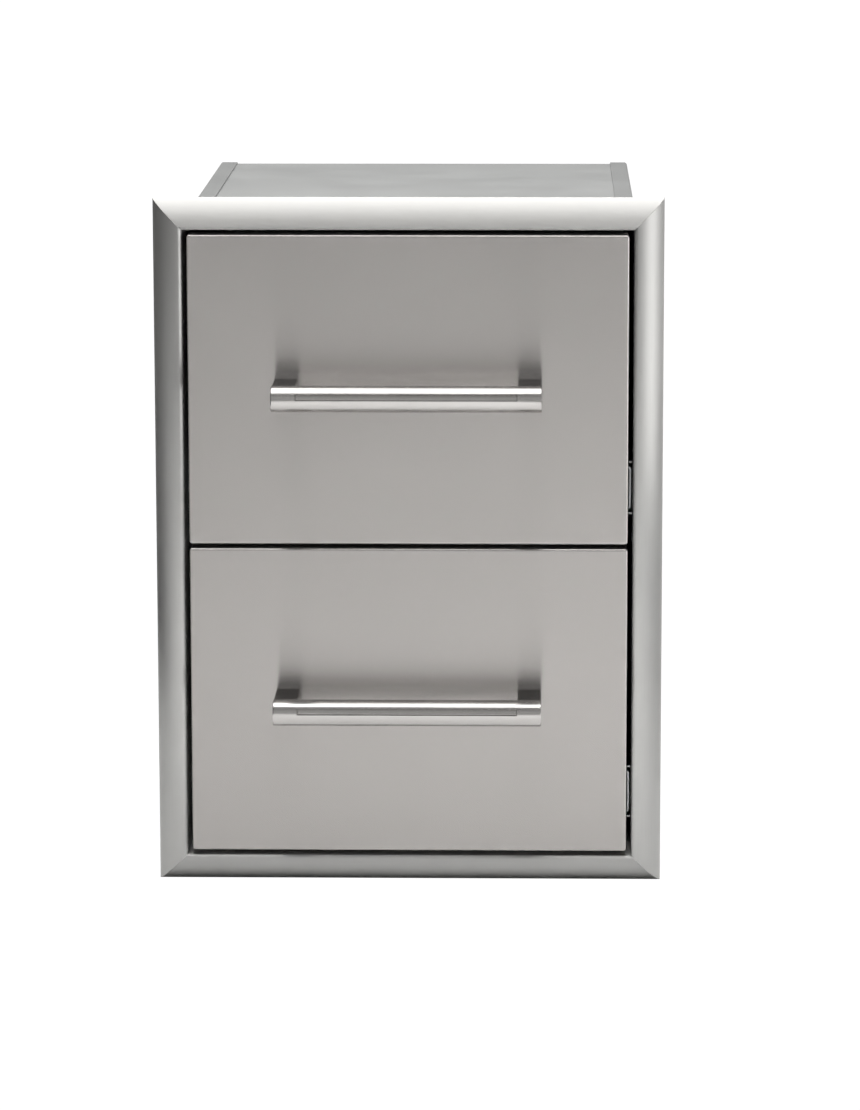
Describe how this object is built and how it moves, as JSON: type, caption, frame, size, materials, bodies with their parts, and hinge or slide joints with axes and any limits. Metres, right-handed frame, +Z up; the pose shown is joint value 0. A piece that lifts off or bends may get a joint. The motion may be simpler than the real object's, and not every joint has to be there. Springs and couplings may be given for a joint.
{
  "type": "built-in double drawer unit",
  "caption": "Built-in outdoor kitchen drawer unit: a bullnose face frame, a box housing and stacked drawers with bar handles, on ball slides.",
  "frame": {"origin": "middle of the bottom rail's rear flange, on the plane of the island's face", "axes": "+X to the right as seen from the front, +Y into the island away from the drawer fronts, +Z up"},
  "size_m": [0.432, 0.6046, 0.59],
  "materials": {
    "frame_steel": "brushed along each rail, satin",
    "front_steel": "brushed across the front, satin",
    "housing_steel": "plain mill finish sheet",
    "handle_steel": "finely brushed, bright",
    "slide_zinc": "zinc plated, semi-bright",
    "retainer_steel": "plain rolled steel with bright balls",
    "screw_steel": "turned stainless",
    "buffer_rubber": "matte black rubber"
  },
  "bodies": {
    "root": {"frame_rail_bottom": "frame_steel", "frame_rail_left": "frame_steel", "frame_rail_top": "frame_steel", "frame_rail_right": "frame_steel", "housing_side_left": "housing_steel", "housing_side_right": "housing_steel", "housing_top": "housing_steel", "housing_bottom": "housing_steel", "housing_back": "housing_steel", "lower_slide_outer_left": "slide_zinc", "lower_buffer_left": "buffer_rubber", "lower_slide_outer_right": "slide_zinc", "lower_buffer_right": "buffer_rubber", "upper_slide_outer_left": "slide_zinc", "upper_buffer_left": "buffer_rubber", "upper_slide_outer_right": "slide_zinc", "upper_buffer_right": "buffer_rubber"},
    "lower_drawer": {"lower_front_skin": "front_steel", "lower_front_liner": "housing_steel", "lower_box_back": "housing_steel", "lower_box_bottom": "housing_steel", "lower_handle_bar": "handle_steel", "lower_box_side_left": "housing_steel", "lower_handle_post_left": "handle_steel", "lower_handle_screw_left": "screw_steel", "lower_slide_inner_left": "slide_zinc", "lower_box_side_right": "housing_steel", "lower_handle_post_right": "handle_steel", "lower_handle_screw_right": "screw_steel", "lower_slide_inner_right": "slide_zinc"},
    "lower_slide_middles": {"lower_slide_middle_left": "slide_zinc", "lower_slide_middle_right": "slide_zinc"},
    "lower_outer_retainers": {"lower_outer_retainer_left": "retainer_steel", "lower_outer_retainer_right": "retainer_steel"},
    "lower_inner_retainers": {"lower_inner_retainer_left": "retainer_steel", "lower_inner_retainer_right": "retainer_steel"},
    "upper_drawer": {"upper_front_skin": "front_steel", "upper_front_liner": "housing_steel", "upper_box_back": "housing_steel", "upper_box_bottom": "housing_steel", "upper_handle_bar": "handle_steel", "upper_box_side_left": "housing_steel", "upper_handle_post_left": "handle_steel", "upper_handle_screw_left": "screw_steel", "upper_slide_inner_left": "slide_zinc", "upper_box_side_right": "housing_steel", "upper_handle_post_right": "handle_steel", "upper_handle_screw_right": "screw_steel", "upper_slide_inner_right": "slide_zinc"},
    "upper_slide_middles": {"upper_slide_middle_left": "slide_zinc", "upper_slide_middle_right": "slide_zinc"},
    "upper_outer_retainers": {"upper_outer_retainer_left": "retainer_steel", "upper_outer_retainer_right": "retainer_steel"},
    "upper_inner_retainers": {"upper_inner_retainer_left": "retainer_steel", "upper_inner_retainer_right": "retainer_steel"}
  },
  "joints": [
    {"name": "lower_drawer_slide", "type": "slide", "parent": "root", "child": "lower_drawer", "axis": [0, -1, 0], "range_m": [0, 0.457]},
    {"name": "lower_slide_middles_run", "type": "slide", "parent": "root", "child": "lower_slide_middles", "axis": [0, -1, 0], "range_m": [0, 0.2285]},
    {"name": "lower_outer_retainers_run", "type": "slide", "parent": "root", "child": "lower_outer_retainers", "axis": [0, -1, 0], "range_m": [0, 0.11425]},
    {"name": "lower_inner_retainers_run", "type": "slide", "parent": "root", "child": "lower_inner_retainers", "axis": [0, -1, 0], "range_m": [0, 0.34275]},
    {"name": "upper_drawer_slide", "type": "slide", "parent": "root", "child": "upper_drawer", "axis": [0, -1, 0], "range_m": [0, 0.457]},
    {"name": "upper_slide_middles_run", "type": "slide", "parent": "root", "child": "upper_slide_middles", "axis": [0, -1, 0], "range_m": [0, 0.2285]},
    {"name": "upper_outer_retainers_run", "type": "slide", "parent": "root", "child": "upper_outer_retainers", "axis": [0, -1, 0], "range_m": [0, 0.11425]},
    {"name": "upper_inner_retainers_run", "type": "slide", "parent": "root", "child": "upper_inner_retainers", "axis": [0, -1, 0], "range_m": [0, 0.34275]}
  ],
  "couplings": [
    {"joint": "lower_slide_middles_run", "follows": "lower_drawer_slide", "ratio": 0.5},
    {"joint": "lower_outer_retainers_run", "follows": "lower_drawer_slide", "ratio": 0.25},
    {"joint": "lower_inner_retainers_run", "follows": "lower_drawer_slide", "ratio": 0.75},
    {"joint": "upper_slide_middles_run", "follows": "upper_drawer_slide", "ratio": 0.5},
    {"joint": "upper_outer_retainers_run", "follows": "upper_drawer_slide", "ratio": 0.25},
    {"joint": "upper_inner_retainers_run", "follows": "upper_drawer_slide", "ratio": 0.75}
  ]
}
